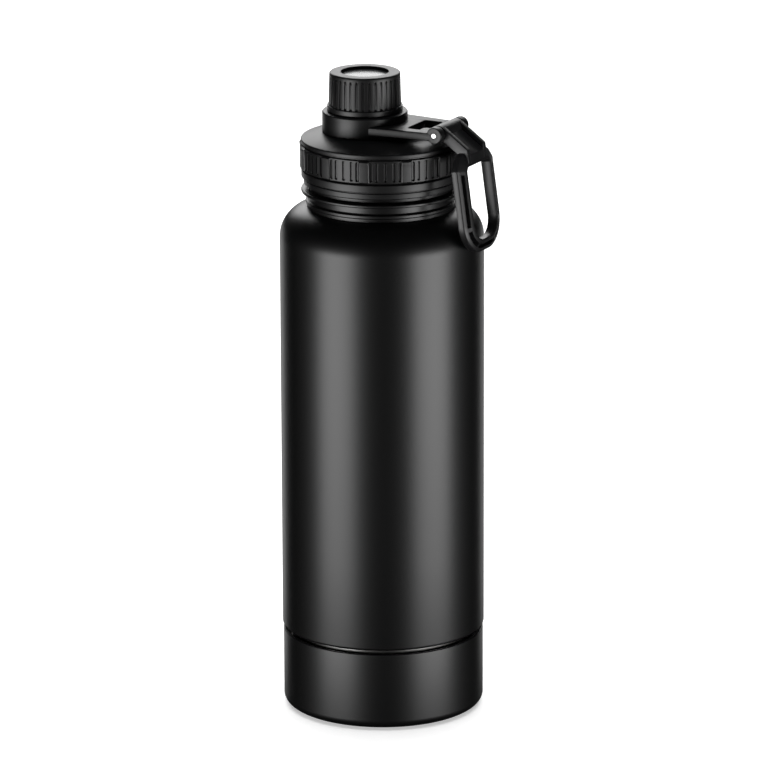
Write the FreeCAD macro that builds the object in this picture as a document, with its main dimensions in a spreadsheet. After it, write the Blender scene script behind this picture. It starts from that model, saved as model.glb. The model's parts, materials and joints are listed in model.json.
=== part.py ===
import FreeCAD, Part
import math
import os
import re

import Sketcher
from FreeCAD import Placement, Rotation, Vector

# An insulated steel growler: a double-walled bottle, a screw-on base cup, a wide-mouth lid with an
# off-centre spout, a spout cap, and a carry loop that swings on a hinge at the edge of the lid.
# +Z is up, the underside of the foot pad is z = 0 and the bottle's axis is x = y = 0.
# +X points from the bottle's axis to the hinge. All sizes are in millimetres.

DIMENSIONS = (
    ("body_radius", 45.0, "outer radius of the bottle"),
    ("shell_wall", 1.0, "wall of the outer shell"),
    ("shell_bottom", 37.0, "height of the outer shell's rolled lower edge"),
    ("roll_radius", 1.4, "radius of that rolled edge"),
    ("roll_inner_radius", 42.3, "inner end of the rolled edge"),
    ("shoulder_height", 215.0, "height where the shoulder starts to curve in"),
    ("shoulder_radius", 14.0, "radius of the shoulder curve"),
    ("neck_radius", 33.0, "radius where the shoulder meets the neck"),
    ("neck_foot", 228.86, "height where the shoulder meets the neck"),
    ("bead_radius", 33.45, "radius of the lower neck bead"),
    ("bead_low", 230.3, "lower edge of the lower neck bead"),
    ("bead_high", 232.0, "upper edge of the lower neck bead"),
    ("neck_root", 32.3, "radius of the neck between its beads"),
    ("flange_radius", 35.4, "radius of the neck flange"),
    ("flange_low", 235.4, "lower edge of the neck flange"),
    ("flange_high", 237.2, "upper edge of the neck flange"),
    ("neck_step", 239.0, "height where the neck narrows to its thread"),
    ("mouth_core", 29.5, "radius of the neck under its thread"),
    ("mouth_shell_inner", 28.5, "inner radius of the outer shell at the mouth"),
    ("lip_low", 249.0, "lower edge of the rolled lip"),
    ("lip_high", 250.2, "top of the mouth"),
    ("mouth_radius", 27.0, "radius of the open mouth"),
    ("vessel_wall", 0.8, "wall of the inner vessel"),
    ("vessel_gap", 2.0, "vacuum gap between shell and vessel"),
    ("vessel_floor", 46.0, "underside of the inner vessel"),
    ("vessel_corner", 9.0, "corner radius of the inner vessel's floor"),
    ("plate_low", 38.6, "underside of the outer bottom plate"),
    ("plate_thickness", 1.0, "thickness of the outer bottom plate"),
    ("seal_disc_radius", 10.0, "radius of the vacuum seal disc"),
    ("seal_disc_thickness", 1.0, "thickness of the vacuum seal disc"),
    ("base_ring_inner", 38.4, "inner radius of the base thread ring"),
    ("base_ring_core", 40.9, "outer radius of the base thread ring under its thread"),
    ("base_ring_low", 24.2, "lower edge of the base thread ring"),
    ("cup_radius", 44.6, "outer radius of the base cup"),
    ("cup_wall", 1.1, "wall of the base cup"),
    ("cup_high", 35.3, "rim of the base cup"),
    ("cup_low", 0.5, "underside of the base cup"),
    ("cup_floor", 2.9, "inner floor of the base cup"),
    ("cup_corner", 4.0, "corner radius of the base cup"),
    ("rim_round", 0.5, "rounding of the base cup's rim"),
    ("foot_radius", 38.5, "radius of the non-slip foot pad"),
    ("foot_thickness", 1.7, "thickness of the foot pad"),
    ("insert_wall", 1.1, "wall of the threaded insert in the base cup"),
    ("insert_high", 34.6, "top of the threaded insert"),
    ("insert_low", 20.4, "underside of the threaded insert's ledge"),
    ("ledge_thickness", 1.6, "thickness of that ledge"),
    ("ledge_inner", 38.0, "inner radius of that ledge"),
    ("base_gasket_inner", 38.6, "inner radius of the base cup's gasket"),
    ("base_gasket_outer", 42.0, "outer radius of the base cup's gasket"),
    ("seal_gap", 0.1, "running gap on each face of a gasket"),
    ("lid_low", 239.4, "lower edge of the lid's skirt"),
    ("band_low_radius", 34.3, "radius of the lower skirt band"),
    ("band_low_high", 241.7, "upper edge of the lower skirt band"),
    ("band_groove", 33.8, "radius of the groove above it"),
    ("band_high_radius", 35.3, "radius of the upper skirt band"),
    ("band_high_low", 242.5, "lower edge of the upper skirt band"),
    ("band_high_high", 245.8, "upper edge of the upper skirt band"),
    ("grip_core", 34.2, "radius of the lid shell under the grip ring"),
    ("grip_low", 246.6, "lower edge of the grip ring"),
    ("grip_high", 257.0, "upper edge of the grip ring"),
    ("grip_base", 35.2, "radius of the grip ring between its ribs"),
    ("rib_radius", 35.9, "radius over the narrow grip ribs"),
    ("pad_radius", 36.6, "radius over the wide grip pads"),
    ("rib_width", 2.3, "width of a narrow grip rib"),
    ("pad_width", 5.0, "width of a wide grip pad"),
    ("grip_phase", 15.5, "angle of the first wide pad from +X in degrees"),
    ("cover_radius", 35.5, "radius of the lid's top disc"),
    ("cover_low", 257.7, "lower edge of the lid's top disc"),
    ("cover_high", 259.3, "top of its upright edge"),
    ("cover_round", 0.7, "rounding of that edge"),
    ("crown_radius", 27.5, "radius of the flat crown"),
    ("crown_height", 261.2, "height of the flat crown"),
    ("lid_inner", 32.5, "inner radius of the lid shell"),
    ("lid_ceiling", 257.3, "ceiling inside the lid shell"),
    ("liner_root", 30.9, "inner radius of the lid liner behind its thread"),
    ("liner_outer", 32.4, "outer radius of the lid liner"),
    ("liner_disc_low", 252.5, "underside of the lid liner's disc"),
    ("liner_disc_high", 254.0, "top of the lid liner's disc"),
    ("lid_gasket_inner", 27.2, "inner radius of the lid gasket"),
    ("lid_gasket_outer", 30.5, "outer radius of the lid gasket"),
    ("foam_radius", 32.3, "radius of the lid's insulation"),
    ("spout_offset", 8.2, "distance of the spout's axis from the bottle's axis"),
    ("spout_inner", 11.2, "inner radius of the spout tube"),
    ("spout_core", 12.4, "outer radius of the spout tube"),
    ("spout_high", 281.6, "top of the spout tube"),
    ("collar_tube", 15.5, "outer radius of the collar's tube"),
    ("collar_radius", 18.8, "radius of the collar's flange"),
    ("collar_low", 267.1, "underside of the collar's flange"),
    ("collar_high", 270.7, "top of the collar's flange"),
    ("arm_low", 263.5, "underside of the hinge arm"),
    ("arm_high", 267.0, "top of the hinge arm"),
    ("arm_root_x", 2.0, "where the arm's sides leave the yoke ring"),
    ("arm_root_y", 16.0, "half width of the arm at the yoke ring"),
    ("arm_half_width", 13.3, "half width of the arm at the hinge"),
    ("window_low_x", 17.0, "inner end of the arm's opening"),
    ("window_high_x", 26.0, "outer end of the arm's opening"),
    ("window_half_y", 8.5, "half width of the arm's opening"),
    ("hinge_x", 32.6, "hinge axis from the bottle's axis"),
    ("hinge_z", 266.0, "height of the hinge axis"),
    ("ear_radius", 3.6, "radius of the hinge ears"),
    ("ear_inner_y", 9.5, "inner face of a hinge ear"),
    ("ear_relief_x", 28.4, "how far back the gap between the ears reaches"),
    ("pin_radius", 1.2, "radius of the hinge pin"),
    ("pin_seat", 0.01, "radial seat of the pin in the ears"),
    ("pin_clearance", 0.05, "radial running clearance of the loop on the pin"),
    ("washer_radius", 2.9, "radius of a hinge washer"),
    ("washer_gap", 0.1, "axial play at a hinge washer"),
    ("barrel_radius", 3.6, "radius of the loop's hinge barrel"),
    ("barrel_half_width", 8.9, "half width of the loop's hinge barrel"),
    ("link_thickness", 4.8, "thickness of the link between barrel and loop"),
    ("link_slope", 43.6, "slope of the link below the loop's own horizontal in degrees"),
    ("loop_tilt", 8.0, "outward tilt of the loop in degrees"),
    ("loop_face_x", 13.2, "front of the loop from the hinge axis, along its own normal"),
    ("loop_thickness", 4.9, "thickness of the loop at its opening"),
    ("loop_rim_thickness", 3.0, "thickness of the loop at its outer edge"),
    ("loop_slope_width", 5.4, "width of the sloping front between rim and opening"),
    ("loop_half_width", 17.1, "half of the loop's overall width"),
    ("loop_top", 9.0, "top of the loop below the hinge axis"),
    ("loop_top_half", 9.9, "half width of the loop's flat top"),
    ("loop_corner_half", 14.2, "half width where the slope beside the flat top ends"),
    ("loop_corner_drop", 11.4, "how far below the hinge axis that slope ends"),
    ("loop_shoulder", 15.4, "how far below the hinge axis the loop reaches its full width"),
    ("loop_bottom", 53.6, "bottom of the loop below the hinge axis"),
    ("loop_foot_radius", 14.0, "radius of the loop's lower corners"),
    ("loop_leg_width", 6.3, "width of a leg of the loop"),
    ("loop_window_top", 15.0, "top of the loop's opening below the hinge axis"),
    ("loop_window_bottom", 48.0, "bottom of the loop's opening below the hinge axis"),
    ("loop_window_chamfer", 1.6, "chamfer at the opening's upper corners"),
    ("loop_window_round", 7.8, "radius of the opening's lower corners"),
    ("cap_low", 270.9, "lower edge of the spout cap"),
    ("cap_ring_radius", 16.6, "radius of the cap's plain lower ring"),
    ("cap_ring_high", 273.4, "top of that ring"),
    ("cap_core_low", 15.9, "radius between the cap's ribs at their foot"),
    ("cap_core_high", 15.1, "radius between the cap's ribs at their head"),
    ("cap_rib_radius", 15.95, "radius over the cap's ribs"),
    ("cap_rib_width", 1.3, "width of a cap rib"),
    ("cap_rib_high", 286.6, "top of the cap's ribs"),
    ("cap_edge_radius", 15.3, "radius of the cap's top edge"),
    ("cap_high", 288.0, "top of the spout cap"),
    ("cap_edge_round", 0.8, "rounding of the cap's top edge"),
    ("cap_recess_radius", 10.5, "radius of the recess in the cap's top"),
    ("cap_recess_floor", 286.2, "floor of that recess"),
    ("cap_inner", 14.6, "inner radius of the cap shell"),
    ("cap_ceiling", 284.4, "ceiling inside the cap shell"),
    ("disc_radius", 10.3, "radius of the disc in the cap's recess"),
    ("disc_thickness", 0.4, "thickness of that disc"),
    ("cap_liner_root", 13.75, "inner radius of the cap liner behind its thread"),
    ("cap_liner_outer", 14.55, "outer radius of the cap liner"),
    ("cap_liner_low", 271.3, "lower edge of the cap liner"),
    ("cap_liner_disc_low", 282.9, "underside of the cap liner's disc"),
    ("cap_gasket_outer", 13.2, "outer radius of the cap's gasket"),
    ("lid_pitch", 4.0, "pitch of the lid's thread"),
    ("cap_pitch", 3.0, "pitch of the cap's thread"),
    ("base_pitch", 3.0, "pitch of the base cup's thread"),
    ("thread_depth", 1.0, "height of a thread ridge"),
    ("thread_foot", 1.5, "width of a thread ridge at its foot"),
    ("thread_crest", 0.7, "width of a thread ridge at its crest"),
    ("thread_bite", 0.2, "how far a ridge is sunk into its wall"),
    ("lid_thread_start", 243.0, "start of the neck's thread ridge"),
    ("cap_thread_start", 276.5, "start of the spout's thread ridge"),
    ("base_thread_start", 30.0, "start of the base ring's thread ridge"),
)

GRIP_PADS = 12
RIBS_PER_PAD = 5
CAP_RIBS = 36

doc = FreeCAD.newDocument("growler")
sheet = doc.addObject("Spreadsheet::Sheet", "Sizes")
for row, (alias, value, note) in enumerate(DIMENSIONS, start=1):
    sheet.set(f"A{row}", alias)
    sheet.set(f"B{row}", str(value))
    sheet.setAlias(f"B{row}", alias)
    sheet.set(f"C{row}", note)
doc.recompute()


def bound(text):
    """The text of an expression with every name in it read from the sheet."""
    return re.sub(r"[a-z_]+", lambda word: "Sizes." + word.group(), str(text))


def number(text):
    """The value of such an expression now."""
    return float(sheet.evalExpression(bound(text)))


def origin_feature(body, role):
    """One of a body's own origin planes or axes."""
    return next(item for item in body.Origin.OriginFeatures if item.Role == role)


def new_body(name, on_spout=False):
    """An empty body, on the bottle's axis or on the spout's."""
    body = doc.addObject("PartDesign::Body", name)
    body.Label = name
    if on_spout:
        body.setExpression("Placement.Base.x", "-Sizes.spout_offset")
    return body


def new_sketch(body, name, role, lift=None):
    """A sketch on one of the body's planes, lifted along the plane's normal by an expression."""
    sketch = body.newObject("Sketcher::SketchObject", name)
    sketch.AttachmentSupport = [(origin_feature(body, role), "")]
    sketch.MapMode = "FlatFace"
    if lift is not None:
        sketch.setExpression("AttachmentOffset.Base.z", bound(lift))
    return sketch


def pin_point(sketch, geometry, point, across, up):
    """Holds one point of the sketch at two expressions."""
    for kind, axis, text in (("DistanceX", -2, across), ("DistanceY", -1, up)):
        value = number(text)
        if abs(value) < 1e-9:
            sketch.addConstraint(Sketcher.Constraint("PointOnObject", geometry, point, axis))
            continue
        index = sketch.addConstraint(Sketcher.Constraint(kind, -1, 1, geometry, point, value))
        sketch.setExpression(f"Constraints[{index}]", bound(text))


def arc_between(start, end, radius, turn):
    """The short arc from start to end whose centre lies left (turn 1) or right (turn -1) of the run."""
    run = end - start
    half = run.Length / 2
    side = Vector(-run.y, run.x, 0).normalize() * turn
    centre = (start + end) * 0.5 + side * math.sqrt(max(radius * radius - half * half, 0.0))
    middle = centre - side * radius
    return Part.Arc(start, middle, end)


def outline(sketch, points):
    """A closed outline. A point is (across, up), or (across, up, radius, turn) to arrive on an arc."""
    spots = [Vector(number(point[0]), number(point[1]), 0) for point in points]
    count = len(points)
    first = sketch.GeometryCount
    ends = []
    for step in range(count):
        after = (step + 1) % count
        if len(points[after]) == 2:
            sketch.addGeometry(Part.LineSegment(spots[step], spots[after]))
            ends.append((1, 2))
        else:
            radius = number(points[after][2])
            turn = points[after][3]
            sketch.addGeometry(arc_between(spots[step], spots[after], radius, turn))
            ends.append((1, 2) if turn > 0 else (2, 1))
    joins = []
    for step in range(count):
        after = (step + 1) % count
        joins.append(Sketcher.Constraint("Coincident", first + step, ends[step][1],
                                         first + after, ends[after][0]))
    sketch.addConstraint(joins)
    for step, point in enumerate(points):
        pin_point(sketch, first + step, ends[step][0], point[0], point[1])
        if len(point) == 4:
            before = first + (step - 1) % count
            index = sketch.addConstraint(Sketcher.Constraint("Radius", before, number(point[2])))
            sketch.setExpression(f"Constraints[{index}]", bound(point[2]))


def circle(sketch, across, up, radius):
    """A circle whose centre and radius are expressions."""
    centre = Vector(number(across), number(up), 0)
    index = sketch.addGeometry(Part.Circle(centre, Vector(0, 0, 1), number(radius)))
    pin_point(sketch, index, 3, across, up)
    size = sketch.addConstraint(Sketcher.Constraint("Radius", index, number(radius)))
    sketch.setExpression(f"Constraints[{size}]", bound(radius))


def turned(body, points, name="profile"):
    """Turns an outline of (radius, height) about the body's own axis."""
    sketch = new_sketch(body, name, "XZ_Plane")
    outline(sketch, points)
    turn = body.newObject("PartDesign::Revolution", name + "_turn")
    turn.Profile = sketch
    turn.ReferenceAxis = (origin_feature(body, "Z_Axis"), [""])
    turn.Angle = 360
    return turn


def padded(body, sketch, length, middle=False):
    """Pads a sketch by an expression, to one side of its plane or to both."""
    pad = body.newObject("PartDesign::Pad", sketch.Name + "_pad")
    pad.Profile = sketch
    pad.setExpression("Length", bound(length))
    pad.Midplane = middle
    return pad


def pocketed(body, sketch, length, middle=False, backwards=False):
    """Cuts a sketch out of the body, to one side of its plane or to both."""
    pocket = body.newObject("PartDesign::Pocket", sketch.Name + "_pocket")
    pocket.Profile = sketch
    pocket.setExpression("Length", bound(length))
    pocket.Midplane = middle
    pocket.Reversed = backwards
    return pocket


def repeated(body, feature, count):
    """Repeats a feature all round the body's own axis."""
    pattern = body.newObject("PartDesign::PolarPattern", feature.Name + "_ring")
    pattern.Originals = [feature]
    pattern.Axis = (origin_feature(body, "Z_Axis"), [""])
    pattern.Angle = 360
    pattern.Occurrences = count
    body.Tip = pattern
    return pattern


def thread_ridge(body, wall, start, pitch, turns, inward=False):
    """A right-handed thread ridge that winds up the wall of this radius."""
    side = "-" if inward else "+"
    back = "+" if inward else "-"
    root = f"{wall} {back} thread_bite"
    crest = f"{wall} {side} thread_depth"
    sketch = new_sketch(body, body.Name + "_thread", "XZ_Plane")
    outline(sketch, [
        (root, f"{start} - thread_foot / 2"),
        (crest, f"{start} - thread_crest / 2"),
        (crest, f"{start} + thread_crest / 2"),
        (root, f"{start} + thread_foot / 2"),
    ])
    ridge = body.newObject("PartDesign::AdditiveHelix", body.Name + "_ridge")
    ridge.Profile = sketch
    ridge.ReferenceAxis = (origin_feature(body, "Z_Axis"), [""])
    ridge.Mode = 0
    ridge.setExpression("Pitch", bound(pitch))
    ridge.setExpression("Height", bound(f"{pitch} * {turns}"))
    return ridge


def washer(body, inner, outer, low, high):
    """A plain flat ring, or a disc where the inner radius is 0."""
    return turned(body, [(inner, low), (outer, low), (outer, high), (inner, high)])


# ---- the bottle ----

def outer_shell():
    body = new_body("outer_shell")
    inner = "body_radius - shell_wall"
    turned(body, [
        ("roll_inner_radius", "shell_bottom"),
        ("body_radius - roll_radius", "shell_bottom"),
        ("body_radius", "shell_bottom + roll_radius", "roll_radius", 1),
        ("body_radius", "shoulder_height"),
        ("neck_radius", "neck_foot", "shoulder_radius", 1),
        ("neck_radius", "bead_low"),
        ("bead_radius", "bead_low + 0.4"),
        ("bead_radius", "bead_high - 0.4"),
        ("neck_root", "bead_high + 0.3"),
        ("neck_root", "flange_low"),
        ("flange_radius - 0.4", "flange_low + 0.2"),
        ("flange_radius", "flange_low + 0.6"),
        ("flange_radius", "flange_high - 0.4"),
        ("neck_root", "flange_high + 0.1"),
        ("neck_root", "neck_step"),
        ("mouth_core", "neck_step"),
        ("mouth_core", "lip_low"),
        ("mouth_shell_inner", "lip_low"),
        ("mouth_shell_inner", "neck_step - shell_wall"),
        ("neck_root - shell_wall", "neck_step - shell_wall"),
        ("neck_root - shell_wall", "neck_foot - 0.6"),
        (inner, "shoulder_height", "shoulder_radius - shell_wall + 0.6", -1),
        (inner, "shell_bottom + roll_radius + 0.2"),
        ("roll_inner_radius", "shell_bottom + 0.8"),
    ])
    thread_ridge(body, "mouth_core", "lid_thread_start", "lid_pitch", 1)


def inner_vessel():
    body = new_body("inner_vessel")
    outer = "body_radius - shell_wall - vessel_gap"
    inner = f"{outer} - vessel_wall"
    neck_outer = "mouth_radius + vessel_wall"
    turned(body, [
        (0, "vessel_floor"),
        (f"{outer} - vessel_corner", "vessel_floor"),
        (outer, "vessel_floor + vessel_corner", "vessel_corner", 1),
        (outer, "shoulder_height - 2"),
        (neck_outer, "neck_foot - 2", "shoulder_radius + 1.4", 1),
        (neck_outer, "lip_low"),
        ("mouth_core", "lip_low"),
        ("mouth_core", "lip_high"),
        ("mouth_radius", "lip_high"),
        ("mouth_radius", "neck_foot - 2.8"),
        (inner, "shoulder_height - 2", "shoulder_radius + 0.9", -1),
        (inner, "vessel_floor + vessel_corner"),
        (f"{outer} - vessel_corner", "vessel_floor + vessel_wall", "vessel_corner - vessel_wall", -1),
        (0, "vessel_floor + vessel_wall"),
    ])


def outer_base_plate():
    body = new_body("outer_base_plate")
    washer(body, 0, "body_radius - shell_wall - 0.05", "plate_low", "plate_low + plate_thickness")


def vacuum_seal_disc():
    body = new_body("vacuum_seal_disc")
    washer(body, 0, "seal_disc_radius", "plate_low - seal_disc_thickness", "plate_low")


def base_thread_ring():
    body = new_body("base_thread_ring")
    washer(body, "base_ring_inner", "base_ring_core", "base_ring_low", "plate_low")
    thread_ridge(body, "base_ring_core", "base_thread_start", "base_pitch", 1)


# ---- the base cup ----

def base_cup():
    body = new_body("base_cup")
    inner = "cup_radius - cup_wall"
    turned(body, [
        (0, "foot_thickness"),
        ("foot_radius + 0.1", "foot_thickness"),
        ("foot_radius + 0.1", "cup_low"),
        ("cup_radius - cup_corner", "cup_low"),
        ("cup_radius", "cup_low + cup_corner", "cup_corner", 1),
        ("cup_radius", "cup_high - rim_round"),
        ("cup_radius - rim_round", "cup_high", "rim_round", 1),
        (f"{inner} + rim_round", "cup_high"),
        (inner, "cup_high - rim_round", "rim_round", 1),
        (inner, "cup_floor + cup_corner - cup_wall"),
        ("cup_radius - cup_corner", "cup_floor", "cup_corner - cup_wall", -1),
        (0, "cup_floor"),
    ])


def foot_pad():
    body = new_body("foot_pad")
    washer(body, 0, "foot_radius", 0, "foot_thickness")


def base_thread_insert():
    body = new_body("base_thread_insert")
    outer = "cup_radius - cup_wall"
    inner = f"{outer} - insert_wall"
    turned(body, [
        ("ledge_inner", "insert_low"),
        (outer, "insert_low"),
        (outer, "insert_high"),
        (inner, "insert_high"),
        (inner, "insert_low + ledge_thickness"),
        ("ledge_inner", "insert_low + ledge_thickness"),
    ])
    thread_ridge(body, inner, "base_thread_start - base_pitch / 2", "base_pitch", 1.2, inward=True)


def base_gasket():
    body = new_body("base_gasket")
    low = "insert_low + ledge_thickness + seal_gap"
    washer(body, "base_gasket_inner", "base_gasket_outer", low, "base_ring_low - seal_gap")


# ---- the lid ----

def spout_hole(body, radius):
    """Cuts the spout's bore right through a piece that sits on the bottle's axis."""
    sketch = new_sketch(body, body.Name + "_spout", "XY_Plane", lift="lid_low")
    circle(sketch, "-spout_offset", 0, radius)
    pocketed(body, sketch, "40", backwards=True)


def lid_shell():
    body = new_body("lid_shell")
    turned(body, [
        ("lid_inner", "lid_low"),
        ("band_low_radius - 0.3", "lid_low"),
        ("band_low_radius", "lid_low + 0.3"),
        ("band_low_radius", "band_low_high"),
        ("band_groove", "band_low_high + 0.2"),
        ("band_groove", "band_high_low - 0.2"),
        ("band_high_radius", "band_high_low + 0.3"),
        ("band_high_radius", "band_high_high - 0.3"),
        ("band_high_radius - 0.5", "band_high_high"),
        ("band_high_radius - 0.5", "grip_low"),
        ("grip_core", "grip_low"),
        ("grip_core", "grip_high"),
        ("cover_radius - 0.5", "grip_high"),
        ("cover_radius - 0.5", "cover_low - 0.2"),
        ("cover_radius", "cover_low"),
        ("cover_radius", "cover_high - cover_round"),
        ("cover_radius - cover_round", "cover_high", "cover_round", 1),
        ("crown_radius", "crown_height"),
        (0, "crown_height"),
        (0, "lid_ceiling"),
        ("lid_inner", "lid_ceiling"),
    ])
    spout_hole(body, "collar_tube + 0.05")


def grip_ring():
    body = new_body("grip_ring")
    washer(body, "grip_core", "grip_base", "grip_low", "grip_high")
    for name, width, radius, count in (
        ("rib", "rib_width", "rib_radius", GRIP_PADS * RIBS_PER_PAD),
        ("pad", "pad_width", "pad_radius", GRIP_PADS),
    ):
        sketch = new_sketch(body, name, "XY_Plane", lift="grip_low + 0.3")
        outline(sketch, [
            ("grip_base - 0.4", f"-{width} / 2"),
            (radius, f"-{width} / 2 + 0.3"),
            (radius, f"{width} / 2 - 0.3"),
            ("grip_base - 0.4", f"{width} / 2"),
        ])
        pad = padded(body, sketch, "grip_high - grip_low - 0.6")
        repeated(body, pad, count)
    body.setExpression("Placement.Rotation.Angle", bound("grip_phase"))


def lid_liner():
    body = new_body("lid_liner")
    turned(body, [
        ("liner_root", "lid_low"),
        ("liner_outer", "lid_low"),
        ("liner_outer", "liner_disc_high"),
        (0, "liner_disc_high"),
        (0, "liner_disc_low"),
        ("liner_root", "liner_disc_low"),
    ])
    spout_hole(body, "spout_core + 0.05")
    thread_ridge(body, "liner_root", "lid_thread_start - lid_pitch / 2", "lid_pitch", 1.2, inward=True)


def lid_insulation():
    body = new_body("lid_insulation")
    washer(body, 0, "foam_radius", "liner_disc_high + 0.1", "lid_ceiling - 0.1")
    spout_hole(body, "collar_tube + 0.2")


def lid_gasket():
    body = new_body("lid_gasket")
    washer(body, "lid_gasket_inner", "lid_gasket_outer", "lip_high + seal_gap", "liner_disc_low - seal_gap")


def spout_insert():
    body = new_body("spout_insert", on_spout=True)
    washer(body, "spout_inner", "spout_core", "liner_disc_low", "spout_high")
    thread_ridge(body, "spout_core", "cap_thread_start", "cap_pitch", 1)


def spout_collar():
    body = new_body("spout_collar", on_spout=True)
    turned(body, [
        ("spout_core + 0.05", "liner_disc_high + 0.1"),
        ("collar_tube", "liner_disc_high + 0.1"),
        ("collar_tube", "collar_low"),
        ("collar_radius - 0.2", "collar_low"),
        ("collar_radius", "collar_low + 0.2"),
        ("collar_radius", "collar_high - 0.6"),
        ("collar_radius - 0.6", "collar_high", "0.6", 1),
        ("spout_core + 0.05", "collar_high"),
    ])


def handle_yoke():
    body = new_body("handle_yoke")
    ring = new_sketch(body, "yoke_ring", "XY_Plane", lift="crown_height")
    circle(ring, "-spout_offset", 0, "collar_radius")
    padded(body, ring, "arm_high - crown_height")
    arm = new_sketch(body, "yoke_arm", "XY_Plane", lift="arm_low")
    outline(arm, [
        ("arm_root_x", "-arm_root_y"),
        ("hinge_x", "-arm_half_width"),
        ("hinge_x", "arm_half_width"),
        ("arm_root_x", "arm_root_y"),
    ])
    padded(body, arm, "arm_high - arm_low")
    ears = new_sketch(body, "yoke_ears", "XZ_Plane")
    circle(ears, "hinge_x", "hinge_z", "ear_radius")
    padded(body, ears, "arm_half_width * 2", middle=True)
    gap = new_sketch(body, "yoke_gap", "XZ_Plane")
    outline(gap, [
        ("ear_relief_x", "hinge_z - ear_radius * 2"),
        ("hinge_x + ear_radius * 2", "hinge_z - ear_radius * 2"),
        ("hinge_x + ear_radius * 2", "hinge_z + ear_radius * 2"),
        ("ear_relief_x", "hinge_z + ear_radius * 2"),
    ])
    pocketed(body, gap, "ear_inner_y * 2", middle=True)
    window = new_sketch(body, "yoke_window", "XY_Plane", lift="crown_height")
    outline(window, [
        ("window_low_x", "-window_half_y"),
        ("window_high_x", "-window_half_y"),
        ("window_high_x", "window_half_y"),
        ("window_low_x", "window_half_y"),
    ])
    pocketed(body, window, "20", backwards=True)
    bore = new_sketch(body, "yoke_bore", "XY_Plane", lift="crown_height")
    circle(bore, "-spout_offset", 0, "collar_tube + 0.1")
    pocketed(body, bore, "20", backwards=True)
    seat = new_sketch(body, "yoke_pin_seat", "XZ_Plane")
    circle(seat, "hinge_x", "hinge_z", "pin_radius + pin_seat")
    pocketed(body, seat, "arm_half_width * 3", middle=True)


def hinge_pin():
    body = new_body("hinge_pin")
    sketch = new_sketch(body, "pin_section", "XZ_Plane")
    circle(sketch, "hinge_x", "hinge_z", "pin_radius")
    padded(body, sketch, "arm_half_width * 2 + 0.2", middle=True)


def hinge_washers():
    """Two thin washers, one each side of the loop's barrel, in one node."""
    pin = number("pin_radius + pin_clearance")
    rim = number("washer_radius")
    low = number("barrel_half_width + washer_gap")
    high = number("ear_inner_y - washer_gap")
    rings = []
    for near in (low, -high):
        start = Vector(number("hinge_x"), near, number("hinge_z"))
        disc = Part.makeCylinder(rim, high - low, start, Vector(0, 1, 0))
        rings.append(disc.cut(Part.makeCylinder(pin, high - low, start, Vector(0, 1, 0))))
    node = doc.addObject("Part::Feature", "hinge_washers")
    node.Label = "hinge_washers"
    node.Shape = Part.makeCompound(rings)


# ---- the carry loop ----

def slab_from(points, round_radius, back, front):
    """A slab across the loop's thickness from (y, z) corners, with its two lowest corners rounded."""
    corners = [Vector(back, y, z) for y, z in points]
    face = Part.Face(Part.makePolygon(corners + corners[:1]))
    block = face.extrude(Vector(front - back, 0, 0))
    lowest = min(z for y, z in points)
    across = [edge for edge in block.Edges
              if abs(edge.BoundBox.ZMin - lowest) < 1e-6 and abs(edge.BoundBox.ZMax - lowest) < 1e-6
              and abs(edge.BoundBox.XLength - (front - back)) < 1e-6]
    return block.makeFillet(round_radius, across)


def mirrored(points):
    """Corners on the -y side, from the top down, followed by their mirror images from the bottom up."""
    return points + [(-y, z) for y, z in reversed(points)]


def rim_slab(inset, back, front):
    """The loop's filled outline between two planes, drawn in from its outer edge by the inset."""
    return slab_from(mirrored([
        (-number("loop_top_half") + 0.4 * inset, -number("loop_top") - inset),
        (-number("loop_corner_half") + 0.75 * inset, -number("loop_corner_drop") - 0.65 * inset),
        (-number("loop_half_width") + inset, -number("loop_shoulder") - 0.35 * inset),
        (-number("loop_half_width") + inset, -number("loop_bottom") + inset),
    ]), number("loop_foot_radius") - inset, back, front)


def back_wire(block, back):
    """The outline of a slab's face on its back plane."""
    for face in block.Faces:
        if abs(face.BoundBox.XMin - back) < 1e-6 and abs(face.BoundBox.XMax - back) < 1e-6:
            return face.OuterWire
    raise ValueError("the slab has no face on its back plane")


def loop_frame():
    """The loop in its own frame: a flat back, and a front that slopes from the opening to a thin rim."""
    front = number("loop_face_x")
    back = front - number("loop_thickness")
    rim = back + number("loop_rim_thickness")
    inset = number("loop_slope_width")
    slope = Part.makeLoft([
        back_wire(rim_slab(0, rim, rim + 1), rim),
        back_wire(rim_slab(inset, front, front + 1), front),
    ], True, True)
    half = number("loop_half_width") - number("loop_leg_width")
    chamfer = number("loop_window_chamfer")
    high = -number("loop_window_top")
    hole = slab_from(mirrored([
        (-half + chamfer, high),
        (-half, high - chamfer),
        (-half, -number("loop_window_bottom")),
    ]), number("loop_window_round"), back - 1, front + 1)
    return rim_slab(0, back, rim).fuse(slope).cut(hole)


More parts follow.
